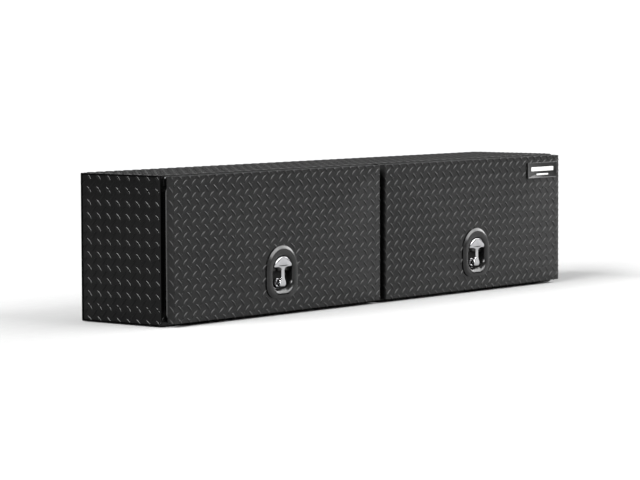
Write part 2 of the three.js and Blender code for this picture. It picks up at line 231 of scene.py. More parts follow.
class Sheet(Plane):
    """A flat face whose sheet may bend inwards past its edges.

    Each of a_low, a_high, b_low and b_high names an edge of the face. It lists the bends past that edge,
    each as (bend radius, flat run after it).
    """

    def __init__(self, origin, a, b, inward, size_a, size_b, **folds):
        super().__init__(origin, a, b, inward)
        self.size = (size_a, size_b)
        self.folds = [[folds.get(f"{axis}_{end}", []) for end in ("low", "high")] for axis in "ab"]

    def reach(self, axis):
        """The lowest and highest place on the unfolded sheet along an axis."""
        before, after = (sum(bend * math.pi / 2 + run for bend, run in fold) for fold in self.folds[axis])
        return -before, self.size[axis] + after

    def fold(self, axis, value, d):
        """Where a place along one axis comes to lie: along the face, and below it."""
        size = self.size[axis]
        if 0 <= value <= size:
            return value, d
        over = -value if value < 0 else value - size
        out, deep = follow(self.folds[axis][value > size], over, d)
        return (-out if value < 0 else size + out), deep

    def at(self, a, b, d=0.0):
        inside_a, inside_b = 0 <= a <= self.size[0], 0 <= b <= self.size[1]
        if not inside_a:
            a, d = self.fold(0, a, d)
            b = min(max(b, 0), self.size[1])
        elif not inside_b:
            b, d = self.fold(1, b, d)
        return super().at(a, b, d)


def follow(fold, over, d):
    """Walks a distance along a folded sheet.

    It gives how far out and how deep a place lies that is d below the sheet's surface.
    """
    here, heading = Vector((0, 0)), 0.0
    for bend, run in fold:
        turn = min(over / bend, math.pi / 2)
        centre = here + Vector((-math.sin(heading), math.cos(heading))) * bend
        heading += turn
        inward = Vector((-math.sin(heading), math.cos(heading)))
        here = centre - inward * bend
        over = over - turn * bend
        if over <= 0:
            break
        ahead = min(over, run)
        here = here + Vector((math.cos(heading), math.sin(heading))) * ahead
        over -= ahead
        if over <= 0:
            break
    return here + Vector((-math.sin(heading), math.cos(heading))) * d


# ---------- tread pattern ----------
def lug_grid(start, end):
    """A closed lug between two stations along its length (-1 to 1).

    It gives points as (along, across, up), and faces.
    """
    stations, across = LUG["stations"], len(LUG_PROFILE)
    verts, faces = [], []
    for i in range(stations):
        u = start + (end - start) * i / (stations - 1)
        taper = max(1 - abs(u) ** LUG["fullness"], LUG["blunt"])
        half = LUG["width"] / 2 * taper
        top = LUG["height"] * math.sqrt(taper)
        for v, share in LUG_PROFILE:
            verts.append((u * LUG["length"] / 2, v * half, top * share))
    for i in range(stations - 1):
        for k in range(across - 1):
            p = i * across + k
            faces.append((p, p + 1, p + across + 1, p + across))
    rim = [i * across for i in range(stations)]
    far = [i * across + across - 1 for i in reversed(range(stations))]
    faces.append(tuple(reversed(range(across))))
    faces.append(tuple(range((stations - 1) * across, stations * across)))
    faces.append(tuple(rim + far))
    return verts, faces


def tread(builder, sheet, phase_a, phase_b, keep=None):
    """Lays lugs on a sheet: "/" lugs on the lattice, and the other way halfway between them.

    A lug that crosses the sheet's cut edge is cut short there. keep(a, b) says whether a place may hold one.
    """
    sink = 0.1 * MM
    margin = 0.4 * MM
    reach = LUG["length"] / 2
    diagonal = math.sqrt(0.5)
    ends = sheet.reach(0), sheet.reach(1)
    all_verts, all_faces = [], []
    for turn in (1, -1):
        shift = (phase_a, phase_b) if turn == 1 else (phase_a + PITCH[0] / 2, phase_b + PITCH[1] / 2)
        spans = [range(math.floor((ends[k][0] - reach - shift[k]) / PITCH[k]),
                       math.ceil((ends[k][1] + reach - shift[k]) / PITCH[k]) + 1) for k in (0, 1)]
        for i in spans[0]:
            for j in spans[1]:
                place = (shift[0] + i * PITCH[0], shift[1] + j * PITCH[1])
                start, end = -1.0, 1.0
                for k, slope in ((0, 1), (1, turn)):
                    cuts = sorted((edge - place[k]) / (reach * diagonal * slope) for edge in ends[k])
                    start, end = max(start, cuts[0]), min(end, cuts[1])
                outside = sum(not 0 <= place[k] <= sheet.size[k] for k in (0, 1))
                if end - start < LUG["shortest"] or outside > 1 or (keep and not keep(*place)):
                    continue
                verts, faces = lug_grid(start, end)
                base = len(all_verts)
                for along, across, up in verts:
                    a = place[0] + (along - across * turn) * diagonal
                    b = place[1] + (along * turn + across) * diagonal
                    a = min(max(a, ends[0][0] + margin), ends[0][1] - margin)
                    b = min(max(b, ends[1][0] + margin), ends[1][1] - margin)
                    all_verts.append(sheet.at(a, b, LUG["height"] - up + (sink if up == 0 else 0)))
                all_faces.extend(tuple(base + n for n in face) for face in faces)
    builder.arrays(all_verts, all_faces)


# ---------- materials ----------
def new_material(name, colour, metallic, roughness, **sockets):
    material = bpy.data.materials.new(name)
    material.use_nodes = True
    shader = material.node_tree.nodes["Principled BSDF"]
    shader.inputs["Base Color"].default_value = (*colour, 1)
    shader.inputs["Metallic"].default_value = metallic
    shader.inputs["Roughness"].default_value = roughness
    for key, value in sockets.items():
        shader.inputs[key.replace("_", " ")].default_value = value
    return material, material.node_tree, shader


def noise(tree, scale, detail=3.0, rough=0.5, stretch=None):
    coords = tree.nodes.new("ShaderNodeTexCoord")
    node = tree.nodes.new("ShaderNodeTexNoise")
    node.inputs["Scale"].default_value = scale
    node.inputs["Detail"].default_value = detail
    node.inputs["Roughness"].default_value = rough
    if stretch:
        mapping = tree.nodes.new("ShaderNodeMapping")
        mapping.inputs["Scale"].default_value = stretch
        tree.links.new(coords.outputs["Object"], mapping.inputs["Vector"])
        tree.links.new(mapping.outputs["Vector"], node.inputs["Vector"])
    else:
        tree.links.new(coords.outputs["Object"], node.inputs["Vector"])
    return node.outputs["Fac"]


NOISE_LOW, NOISE_HIGH = 0.3, 0.7  # the part of the noise's range that spread() and tint() use


def spread(tree, value, low_out, high_out):
    node = tree.nodes.new("ShaderNodeMapRange")
    node.inputs["From Min"].default_value = NOISE_LOW
    node.inputs["From Max"].default_value = NOISE_HIGH
    node.inputs["To Min"].default_value = low_out
    node.inputs["To Max"].default_value = high_out
    tree.links.new(value, node.inputs["Value"])
    return node.outputs["Result"]


def tint(tree, value, dark, light):
    ramp = tree.nodes.new("ShaderNodeValToRGB")
    ramp.color_ramp.elements[0].position = NOISE_LOW
    ramp.color_ramp.elements[0].color = (*dark, 1)
    ramp.color_ramp.elements[1].position = NOISE_HIGH
    ramp.color_ramp.elements[1].color = (*light, 1)
    tree.links.new(value, ramp.inputs["Fac"])
    return ramp.outputs["Color"]


def bump(tree, shader, height, strength, distance, below=None):
    node = tree.nodes.new("ShaderNodeBump")
    node.inputs["Strength"].default_value = strength
    node.inputs["Distance"].default_value = distance
    tree.links.new(height, node.inputs["Height"])
    if below:
        tree.links.new(below, node.inputs["Normal"])
    tree.links.new(node.outputs["Normal"], shader.inputs["Normal"])
    return node.outputs["Normal"]


def surface(name, colour, metallic, roughness, clouds, colours, speckle, levels, bumps=(), **sockets):
    """A material whose colour and roughness vary a little, with fine bumps.

    clouds and speckle are the noise() arguments behind the colours and the roughness levels. Each bump is
    its noise() arguments, its strength and its height in millimetres.
    """
    material, tree, shader = new_material(name, colour, metallic, roughness, **sockets)
    tree.links.new(tint(tree, noise(tree, *clouds), *colours), shader.inputs["Base Color"])
    tree.links.new(spread(tree, noise(tree, *speckle), *levels), shader.inputs["Roughness"])
    below = None
    for grain, strength, height in bumps:
        below = bump(tree, shader, noise(tree, *grain), strength, height * MM, below)
    return material


def powder_coat(name, level, roughness, shine):
    """Black powder coat with a fine even grain, slight clouding and a little dust."""
    dark, light = (level * 0.8, level * 0.8, level * 0.82), (level * 1.3, level * 1.3, level * 1.28)
    return surface(name, (level,) * 3, 0.0, roughness, (14, 4, 0.6), (dark, light),
                   (90, 3), (roughness - 0.03, roughness + 0.03),
                   (((1500, 2, 0.55), 0.35, 0.12), ((260, 2), 0.25, 0.15)), Specular_IOR_Level=shine)


TREAD_COAT = powder_coat("tread_powder_coat", 0.003, 0.23, 0.19)
# The end panels' coat is the tread coat made darker and less shiny: painted shade for the ends, which face
# away from the light.
END_SHADED_COAT = powder_coat("end_painted_shade_coat", 0.0008, 0.17, 0.1)
MATT_COAT = powder_coat("matt_coat", 0.003, 0.5, 0.12)
PLAIN_COAT = powder_coat("plain_powder_coat", 0.012, 0.42, 0.4)
GLOSS = surface("gloss_black", (0.004,) * 3, 0.0, 0.2, (30, 4), ((0.004,) * 3, (0.007,) * 3),
                (160, 4), (0.17, 0.27), [((500, 2), 0.12, 0.1)], Specular_IOR_Level=0.26)
CHROME = surface("chrome", (0.38, 0.38, 0.39), 1.0, 0.1, (60, 3), ((0.34, 0.34, 0.35), (0.41, 0.41, 0.42)),
                 (240, 5, 0.7), (0.06, 0.14), [((900, 3, 0.6, (1, 1, 0.15)), 0.06, 0.05)])
ZINC = surface("zinc_steel", (0.55, 0.56, 0.57), 1.0, 0.35, (120, 5, 0.65),
               ((0.42, 0.43, 0.44), (0.62, 0.63, 0.64)), (400, 4), (0.28, 0.45),
               [((700, 3, 0.6, (0.08, 1, 1)), 0.15, 0.08)])
RUBBER = surface("rubber", (0.014,) * 3, 0.0, 0.78, (60, 4), ((0.010,) * 3, (0.019,) * 3),
                 (300, 3), (0.7, 0.88), [((1100, 3), 0.25, 0.12)])
STRUT_PAINT = surface("strut_paint", (0.012,) * 3, 0.0, 0.28, (70, 3), ((0.010,) * 3, (0.017,) * 3),
                      (350, 3), (0.22, 0.36), [((800, 2), 0.08, 0.08)], Coat_Weight=0.2)
BADGE_WHITE = surface("badge_white", (0.5, 0.5, 0.49), 0.0, 0.35, (90, 3),
                      ((0.45, 0.45, 0.44), (0.54, 0.54, 0.53)), (300, 3), (0.3, 0.45))


# ---------- body ----------
def matt_where(piece, chosen):
    """Gives the faces whose centre is chosen the matt coat, as on bends, and in deep recesses, where its
    darker, duller coat is painted shade.
    """
    piece.data.materials.append(MATT_COAT)
    for polygon in piece.data.polygons:
        if chosen(polygon.center):
            polygon.material_index = 1


def body_wrap():
    """A sheet bent round the top, back and bottom, its two front rails, and lugs on the outer faces.

    The rails stop short of both ends of the box, behind the end panels' front corners.
    """
    front, back, bottom, top = FRONT_Y + SKIN, BACK_Y - SKIN, SKIN, TOP_Z - SKIN
    sill, header = SILL_TOP - FIT, HEADER_BOTTOM + FIT
    seam = FRONT_Y + 6.5 * MM
    rail_end = HALF_LENGTH - 6.4 * MM
    steps = 8

    def back_bends(inset):
        wide = BODY_BEND - SKIN - inset
        y1, z0, z1 = back - inset, bottom + inset, top - inset
        return (arc(y1 - wide, z0 + wide, wide, 270, 360, steps)
                + arc(y1 - wide, z1 - wide, wide, 0, 90, steps))

    def rail(flat, lip, up):
        """A rail's section, from the seam round the front bend to its lip.

        up is 1 at the sill and -1 at the header.
        """
        def bend(inset, radius):
            y0, z0 = front + inset, flat + up * inset
            turned = arc(y0 + radius, z0 + radius, radius, 270, 180, steps)
            return [(y, z0 + up * (z - z0)) for y, z in turned]

        return ([(seam, flat)] + bend(0, TIGHT_BEND - SKIN) + [(front, lip), (front + WALL, lip)]
                + bend(WALL, INNER_BEND)[::-1] + [(seam, flat + up * WALL)])

    made = Builder()
    sheet = ([(seam, bottom)] + back_bends(0) + [(seam, top), (seam, top - WALL)]
             + back_bends(WALL)[::-1] + [(seam, bottom + WALL)])
    made.prism_x(sheet, -HALF_LENGTH, HALF_LENGTH)
    for section in (rail(bottom, sill, 1), rail(top, header, -1)):
        made.prism_x(section, -rail_end, rail_end)
    depth, tall = BACK_Y - FRONT_Y - 2 * BODY_BEND, TOP_Z - 2 * BODY_BEND
    face = Sheet((-HALF_LENGTH, BACK_Y - BODY_BEND - depth, TOP_Z), X, Y, -Z, 2 * HALF_LENGTH, depth,
                 b_high=[(BODY_BEND, tall), (BODY_BEND, depth), (BODY_BEND, sill - BODY_BEND)])
    tread(made, face, *TOP_PHASE)
    wrap = made.piece("body_wrap_sheet", TREAD_COAT, "box", ["body_wrap"], "black_tread")
    matt_where(wrap, lambda c: c.y < FRONT_Y + TIGHT_BEND and not TIGHT_BEND < c.z < TOP_Z - TIGHT_BEND)


def end_panel(name, side):
    """A dish set in the end of the wrap, with rounded edges, and its stile turned in at the front."""
    node = f"{name}_end_panel"
    face = side * (HALF_LENGTH - END_INSET)
    y0, y1 = FRONT_Y + SHEET + FIT, BACK_Y - SHEET - FIT
    z0, z1 = SHEET + FIT, TOP_Z - SHEET - FIT
    inward = -side * X
    plane = Plane((face, 0, 0), Y, Z, inward)
    bend, flange = BODY_BEND, 25 * MM
    corner, tight = bend * 1.3, bend - WALL
    rings = [(inset, SKIN + d) for inset, d in quarter(bend, bend)] + [(0, flange), (WALL, flange)]
    rings += [(WALL + inset, SKIN + WALL + d) for inset, d in reversed(quarter(tight, tight))]
    made = Builder()
    made.loft([plane.ring(rounded_rect(y0 + i, z0 + i, y1 - i, z1 - i, corner - min(i, corner * 0.9)), d)
               for i, d in rings])
    rim = [(bend, 0)]
    for start, end, first_y, folds in (
            (z0 + bend, SILL_TOP, y0 + bend, dict(a_low=rim, a_high=rim, b_low=rim)),
            (SILL_TOP, HEADER_BOTTOM, FRONT_Y + bend, dict(a_high=rim)),
            (HEADER_BOTTOM, z1 - bend, y0 + bend, dict(a_low=rim, a_high=rim, b_high=rim))):
        tread(made, Sheet((face, first_y, start), Y, Z, inward, y1 - bend - first_y, end - start, **folds),
              FRONT_Y + END_PHASE[0] - first_y, END_PHASE[1] - start)
    stile(made, side)
    # Both end panels take the darker coat, painted shade for the ends.
    made.piece(f"{name}_end_sheet", END_SHADED_COAT, "box", [node], "black_tread")


def stile(made, side):
    """The end panel's front edge, bent in across the front of the box between the rails."""
    proud = 0.15 * MM
    edge = HALF_LENGTH - END_INSET - SKIN + proud
    inner, rail = HALF_LENGTH - 45 * MM, edge - 4.2 * MM
    front, leg = FRONT_Y + SKIN, FRONT_Y + 11 * MM

    def bend(inset, radius):
        return arc(edge - inset - radius, front + inset + radius, radius, 270, 360, 6)

    def section(start):
        return ([(start, front)] + bend(0, TIGHT_BEND - SKIN) + [(edge, leg), (edge - WALL, leg)]
                + bend(WALL, INNER_BEND)[::-1] + [(start, front + WALL)])

    top, bottom = TOP_Z - SHEET - FIT, SHEET + FIT
    for start, z0, z1 in ((inner, SILL_TOP, HEADER_BOTTOM), (rail, bottom, SILL_TOP),
                          (rail, HEADER_BOTTOM, top)):
        made.prism_z([(side * x, y) for x, y in section(start)], z0, z1)


def centre_post():
    half, back = high("centre_post").x, high("centre_post").y
    front = FRONT_Y + SKIN
    bend = BODY_BEND - SKIN

    def corners(radius):
        return (arc(-half + bend, front + bend, radius, 180, 270, 6)
                + arc(half - bend, front + bend, radius, 270, 360, 6))

    made = Builder()
    made.prism_z([(-half, back)] + corners(bend) + [(half, back), (half - WALL, back)]
                 + corners(bend - WALL)[::-1] + [(-half + WALL, back)], SILL_TOP, HEADER_BOTTOM)
    flange = [(BODY_BEND, back - FRONT_Y - BODY_BEND)]
    face = Sheet((-half + BODY_BEND, FRONT_Y, SILL_TOP), X, Z, Y, 2 * (half - BODY_BEND),
                 HEADER_BOTTOM - SILL_TOP, a_low=flange, a_high=flange)
    tread(made, face, *POST_PHASE)
    made.piece("centre_post_sheet", TREAD_COAT, "box", ["centre_post"], "black_tread")


# ---------- doors ----------
def arch(x, half, bottom, top, corner):
    """A round-topped outline with rounded lower corners, starting at the right of the round top."""
    steps = 10
    left, right, spring = x - half, x + half, top - half
    return (arc(x, spring, half, 0, 180, 2 * steps)
            + [(left, spring + (bottom + corner - spring) * t) for t in (1 / 3, 2 / 3)]
            + arc(left + corner, bottom + corner, corner, 180, 270, steps)
            + [(left + corner + (right - left - 2 * corner) * t, bottom) for t in (1 / 3, 2 / 3)]
            + arc(right - corner, bottom + corner, corner, 270, 360, steps)
            + [(right, bottom + corner + (spring - bottom - corner) * t) for t in (1 / 3, 2 / 3)])


WELL = dict(half=42.5 * MM, bottom=67.5 * MM, top=165.5 * MM, corner=30 * MM)
WELL_HOLE = 2.8 * MM  # how far the holes behind the pan reach past the well
NO_LUGS = dict(half=56 * MM, bottom=50 * MM, top=182 * MM)  # the place the pan covers


def well_outline(x, by):
    return arch(x, WELL["half"] + by, WELL["bottom"] - by, WELL["top"] + by, WELL["corner"] + by)


def door_skin(name):
    node = f"{name}_door_skin"
    lo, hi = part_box(node)
    bend = TIGHT_BEND
    x0, x1, z0, z1 = lo.x + SKIN, hi.x - SKIN, lo.z + SKIN, hi.z - SKIN
    centre_x = (lo.x + hi.x) / 2
    plane = Plane((0, lo.y, 0), X, Z, Y)
    deep = hi.y - lo.y
    corner, tight = 2 * MM, 0.2 * MM

    def outline(inset):
        return rounded_rect(x0 + inset, z0 + inset, x1 - inset, z1 - inset, max(corner - inset, tight))

    rings = [(inset, SKIN + d) for inset, d in quarter(bend - SKIN, bend - SKIN)]
    rings += [(0, deep), (WALL, deep)]
    rings += [(WALL + inset, SKIN + WALL + d) for inset, d in reversed(quarter(tight, tight))]
    made = Builder()
    lofted = made.loft([plane.ring(outline(i), d) for i, d in rings], cap_start=False, cap_end=False)
    hole = well_outline(centre_x, WELL_HOLE)
    outer_hole = made.ring(plane.ring(hole, SKIN))
    inner_hole = made.ring(plane.ring(hole, SKIN + WALL))
    made.bridge(outer_hole, inner_hole)
    made.fill(lofted[0], outer_hole)
    made.fill(lofted[-1], inner_hole)

    def clear_of_well(a, b):
        x, z = lo.x + bend + a, lo.z + bend + b
        return (abs(x - centre_x) > NO_LUGS["half"] or not NO_LUGS["bottom"] < z < NO_LUGS["top"]
                or not 0 <= b <= hi.z - lo.z)

    phase_a = centre_x + DOOR_PHASES[name][0] - lo.x - bend
    phase_b = DOOR_PHASES[name][1] - lo.z - bend
    edge = [(bend, deep - bend)]
    face = Sheet((lo.x + bend, lo.y, lo.z + bend), X, Z, Y, hi.x - lo.x - 2 * bend, hi.z - lo.z - 2 * bend,
                 a_low=edge, a_high=edge, b_low=edge, b_high=edge)
    tread(made, face, phase_a, phase_b, keep=clear_of_well)
    sheet = made.piece(f"{name}_door_sheet", TREAD_COAT, f"{name}_door", [node], "black_tread")
    matt_where(sheet, lambda c: not (x0 + bend < c.x < x1 - bend and z0 + bend < c.z < z1 - bend))


def door_liner(name):
    """The door's inner sheet, with pressed beads and a row of rivets round its edge."""
    node = f"{name}_door_liner"
    lo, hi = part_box(node)
    plane = Plane((0, hi.y, 0), X, Z, -Y)
    thick = hi.y - lo.y
    centre_x = (lo.x + hi.x) / 2
    hole = arc(centre_x, LATCH_Z, 14 * MM, 0, 360, 32)[:-1]
    made = Builder()
    faces = []
    for d in (0, thick):
        faces.append([made.ring(plane.ring(rounded_rect(lo.x, lo.z, hi.x, hi.z, 1.5 * MM), d)),
                      made.ring(plane.ring(hole, d))])
    made.bridge(faces[0][0], faces[1][0])
    made.bridge(faces[0][1], faces[1][1])
    beads = []
    for side in (-1, 1):
        for level in (0.24, 0.5, 0.76):
            z = lo.z + (hi.z - lo.z) * level
            a, b = sorted((centre_x + side * 95 * MM, centre_x + side * 350 * MM))
            beads.append((a, z - 16 * MM, b, z + 16 * MM))
    front, back = [], []
    for a0, b0, a1, b1 in beads:
        rings = []
        for inset, d in ((0, 0), (2.5 * MM, 0.6 * MM), (5.5 * MM, 2.4 * MM), (8 * MM, 2.8 * MM)):
            outline = rounded_rect(a0 + inset, b0 + inset, a1 - inset, b1 - inset, 16 * MM - inset)
            rings.append((outline, d))
        upper = [made.ring(plane.ring(outline, d)) for outline, d in rings]
        lower = [made.ring(plane.ring(outline, d + thick)) for outline, d in rings]
        for stack in (upper, lower):
            for one, two in zip(stack, stack[1:]):
                made.bridge(one, two)
            made.cap(stack[-1])
        front.append(upper[0])
        back.append(lower[0])
    made.fill(faces[0][0], faces[0][1], *front)
    made.fill(faces[1][0], faces[1][1], *back)
    made.piece(f"{name}_liner_sheet", PLAIN_COAT, f"{name}_door", [node], "liner")
    places = rect_places(lo.x, lo.z, hi.x, hi.z, 6 * MM, 110 * MM)
    rivets(f"{name}_liner_rivets", f"{name}_door", plane, places, 2.2 * MM, 0.25 * MM)


def rect_places(a0, b0, a1, b1, inset, spacing):
    """Evenly spaced places round a rectangle, the inset in from its edge."""
    a0, b0, a1, b1 = a0 + inset, b0 + inset, a1 - inset, b1 - inset
    corners = [(a0, b0), (a1, b0), (a1, b1), (a0, b1)]
    places = []
    for start, end in zip(corners, corners[1:] + corners[:1]):
        count = max(1, round(math.dist(start, end) / spacing))
        for i in range(count):
            t = i / count
            places.append((start[0] + (end[0] - start[0]) * t, start[1] + (end[1] - start[1]) * t))
    return places


def rivets(name, body, plane, places, radius, rise):
    """Low domed zinc rivet heads on a plane's outside."""
    made = Builder()
    for a, b in places:
        rings = []
        for share, up in ((1.0, -0.1 * MM), (1.0, rise * 0.35), (0.8, rise * 0.75), (0.45, rise)):
            rings.append([plane.at(p, q, -up) for p, q in arc(a, b, radius * share, 0, 360, 12)[:-1]])
        made.loft(rings)
    made.piece(name, ZINC, body, slot="steel", sharp=50)


def door_seal(name):
    """A rubber bulb on a flat foot, run round the door opening with wide corners."""
    node = f"{name}_door_seal"
    lo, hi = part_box(node)
    width, foot = 12 * MM, 3.2 * MM
    deep = hi.y - lo.y
    bulb = [(width / 2 - math.cos(t) * width * 0.44, foot + math.sin(t) * (deep - foot))
            for t in map(math.radians, range(0, 181, 18))]
    section = [(0, 0), (0, foot)] + bulb + [(width, foot), (width, 0)]
    made = Builder()
    rings = []
    for inset, rise in section:
        outline = rounded_rect(lo.x + inset, lo.z + inset, hi.x - inset, hi.z - inset, 20 * MM - inset, 10)
        rings.append([Vector((a, hi.y - rise, b)) for a, b in outline])
    made.loft(rings, close=True)
    made.piece(f"{name}_seal_bulb", RUBBER, "box", [node], "rubber", sharp=40)


# ---------- hinges ----------
HINGE_BARREL = 4.2 * MM
PIN, PIN_HOLE = 2.35 * MM, 2.6 * MM
KNUCKLE = 25.4 * MM


def tube(made, x0, x1, at, outer, inner=0, steps=20):
    """A tube along X with softened rims, or a rod where inner is 0; at gives its y and z."""
    soften = 0.35 * MM
    axis_from, axis_to = Vector((x0, at.y, at.z)), Vector((x1, at.y, at.z))
    direction = (axis_to - axis_from).normalized()
    length = (axis_to - axis_from).length
    side = direction.orthogonal().normalized()
    up = direction.cross(side)
    profile = [(outer - soften, 0), (outer, soften), (outer, length - soften), (outer - soften, length)]
    if inner > 0:
        profile += [(inner, length), (inner, 0)]
    made.loft([circle(axis_from + direction * d, side, up, r, steps) for r, d in profile], close=inner > 0)


def hinge(name):
    lo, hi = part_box(f"{name}_hinge_body_leaf")
    pin_node = f"{name}_hinge_pin"
    pin = middle(pin_node)
    leaf, root = 1.6 * MM, 1 * MM
    count = round((hi.x - lo.x) / KNUCKLE)
    pitch = (hi.x - lo.x) / count
    top = high(f"{name}_door_skin").z - SHEET - FIT
    for part, body, first in (("body", "box", 0), ("door", f"{name}_door", 1)):
        node = f"{name}_hinge_{part}_leaf"
        n_lo, n_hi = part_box(node)
        made = Builder()
        for i in range(first, count, 2):
            x0, x1 = max(lo.x + i * pitch + FIT, n_lo.x), min(lo.x + (i + 1) * pitch - FIT, n_hi.x)
            tube(made, x0, x1, pin, HINGE_BARREL, PIN + 0.25 * MM)
            if part == "body":
                plate_box(made, x0, x1, n_hi.y - leaf, n_hi.y, pin.z - HINGE_BARREL - root, pin.z)
            else:
                plate_box(made, x0, x1, pin.y - HINGE_BARREL - root, pin.y - PIN - 0.6 * MM, top - leaf, top)
        if part == "body":
            plate_box(made, n_lo.x, n_hi.x, n_hi.y - leaf, n_hi.y, n_lo.z, pin.z - HINGE_BARREL - FIT)
        else:
            plate_box(made, n_lo.x, n_hi.x, n_lo.y, pin.y - HINGE_BARREL - FIT, top - leaf, top)
        made.piece(f"{name}_hinge_{part}_strip", MATT_COAT, body, [node], "liner")
    made = Builder()
    tube(made, low(pin_node).x, high(pin_node).x, pin, PIN)
    made.piece(f"{name}_hinge_rod", ZINC, "box", [pin_node], "steel")


def plate_box(made, x0, x1, y0, y1, z0, z1):
    """A sheet-metal block with its long edges softened."""
    s = min(0.2 * MM, (y1 - y0) * 0.3, (z1 - z0) * 0.3)
    made.prism_x([(y0 + s, z0), (y1 - s, z0), (y1, z0 + s), (y1, z1 - s),
                  (y1 - s, z1), (y0 + s, z1), (y0, z1 - s), (y0, z0 + s)], x0, x1)


body_wrap()
centre_post()
for side_name, side_sign in SIDES:
    end_panel(side_name, side_sign)
    door_skin(side_name)
    door_liner(side_name)
    door_seal(side_name)
    hinge(side_name)


# ---------- latches ----------
PAN = dict(half=67 * MM, bottom=49 * MM, top=194.5 * MM, corner=38 * MM)
# The bezel's bevel, from its edge inwards: millimetres in from the edge and down from the face.
PAN_BEVEL = ((0.1, 4.2), (0.8, 3.8), (2.5, 2.95), (4.2, 2.1), (5.9, 1.25), (7.2, 0.6), (8.3, 0.2), (9.5, 0))
# How far out from the well the bezel starts to roll in, and how deep the roll goes.
PAN_LIP = (9.5 * MM, 7 * MM)
WELL_DRAFT = 2 * MM  # how far the walls lean in
RAMP_RUN = 7.6 * MM  # how far the well's lower wall goes in at 45 degrees
SHELF_BOTTOM, SHELF_DEPTH = 121 * MM, 14.5 * MM
SHAFT_HOLE = 7.7 * MM


def pan_outline(x, inset):
    return arch(x, PAN["half"] - inset, PAN["bottom"] + inset, PAN["top"] - inset, PAN["corner"] - inset)


def revolve(made, centre, axis, profile, steps):
    """Turns (radius, distance along the axis) pairs round an axis.

    A first or last pair on the axis itself closes that end to a point.
    """
    axis = Vector(axis)
    side = axis.orthogonal().normalized()
    up = axis.cross(side)
    rings = made.loft([circle(centre + axis * along, side, up, radius, steps)
                       for radius, along in profile if radius > 0], cap_start=False, cap_end=False)
    for end, pair in ((rings[0], profile[0]), (rings[-1], profile[-1])):
        if pair[0] > 0:
            made.cap(end)
        else:
            made.fan(end, centre + axis * pair[1])


def ramp(d):
    """The height of the well's lower edge at a depth.

    It rolls in, slopes at 45 degrees and then drops steeply.
    """
    start, roll = WELL["bottom"] - PAN_LIP[0], 14 * MM
    turned = roll * (1 - math.sqrt(0.5))
    if d <= turned:
        return start + roll * math.sqrt(1 - (1 - d / roll) ** 2)
    slope = min(d - turned, RAMP_RUN)
    return start + roll * math.sqrt(0.5) + slope + 0.12 * (d - turned - slope)


def latch_pan(name):
    node = f"{name}_latch_pan"
    lo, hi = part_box(node)
    x = (lo.x + hi.x) / 2
    plane = Plane((0, lo.y, 0), X, Z, Y)
    back, floor = 4.6 * MM, hi.y - 2 * MM - lo.y
    wall, foot = 2.4 * MM, 3 * MM

    def outer(inset, d):
        return plane.ring(pan_outline(x, inset), d)

    def well(grow, d):
        return plane.ring(arch(x, WELL["half"] + grow, ramp(d), WELL["top"] + grow, WELL["corner"] + grow), d)

    rings = [outer(0, back)]
    rings += [outer(inset * MM, deep * MM) for inset, deep in PAN_BEVEL]
    lip, lip_deep = PAN_LIP
    rings.append(outer((PAN["half"] - WELL["half"] - lip + PAN_BEVEL[-1][0] * MM) / 2, 0))
    rings += [well(across, d) for across, d in quarter(lip, lip_deep, 8)]
    wall_bottom = floor - foot
    rings += [well(-WELL_DRAFT * share, lip_deep + (wall_bottom - lip_deep) * share)
              for share in (0.12, 0.24, 0.35, 0.7, 1.0)]
    rings += [well(-WELL_DRAFT - d, floor - across) for across, d in quarter(foot, foot, 5)[1:]]
    made = Builder()
    lofted = made.loft(rings, cap_start=False, cap_end=False)
    cup = well_outline(x, wall)
    under = made.loft([plane.ring(cup, back), plane.ring(cup, hi.y - lo.y)], cap_start=False, cap_end=False)
    made.bridge(lofted[0], under[0])
    hole = arc(x, LATCH_Z, SHAFT_HOLE, 0, 360, 32)[:-1]
    front_hole, back_hole = made.ring(plane.ring(hole, floor)), made.ring(plane.ring(hole, hi.y - lo.y))
    made.bridge(front_hole, back_hole)
    made.fill(lofted[-1], front_hole)
    made.fill(under[-1], back_hole)
    pan_shelf(made, plane, x, floor)
    bezel = made.piece(f"{name}_latch_bezel", GLOSS, f"{name}_door", [node], "gloss_black", sharp=40)
    # The well's deep faces take the darker, duller matt coat: painted shade inside the well.
    matt_where(bezel, lambda c: c.y > lo.y + SHELF_DEPTH + 0.2 * MM)


def pan_shelf(made, plane, x, floor):
    """The step that makes the upper part of the well shallow, with a rounded lower edge."""
    half, top = WELL["half"] - 1 * MM, WELL["top"] - 1 * MM

    def outline(drop):
        bottom = SHELF_BOTTOM + drop
        return arc(x, top - half, half, 0, 180, 20) + [(x - half, bottom), (x + half, bottom)]

    rings = [plane.ring(outline(across), SHELF_DEPTH + deep) for across, deep in quarter(3 * MM, 3 * MM, 5)]
    rings.append(plane.ring(outline(0), floor + 0.5 * MM))
    made.loft(rings)


def latch_gasket(name):
    node = f"{name}_latch_gasket"
    lo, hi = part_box(node)
    x = (lo.x + hi.x) / 2
    plane = Plane((0, lo.y, 0), X, Z, Y)
    outer, inner = pan_outline(x, 1.2 * MM), well_outline(x, WELL_HOLE)
    made = Builder()
    made.loft([plane.ring(outer, 0), plane.ring(outer, hi.y - lo.y), plane.ring(inner, hi.y - lo.y),
               plane.ring(inner, 0)], close=True)
    made.piece(f"{name}_gasket_sheet", RUBBER, f"{name}_door", [node], "rubber")


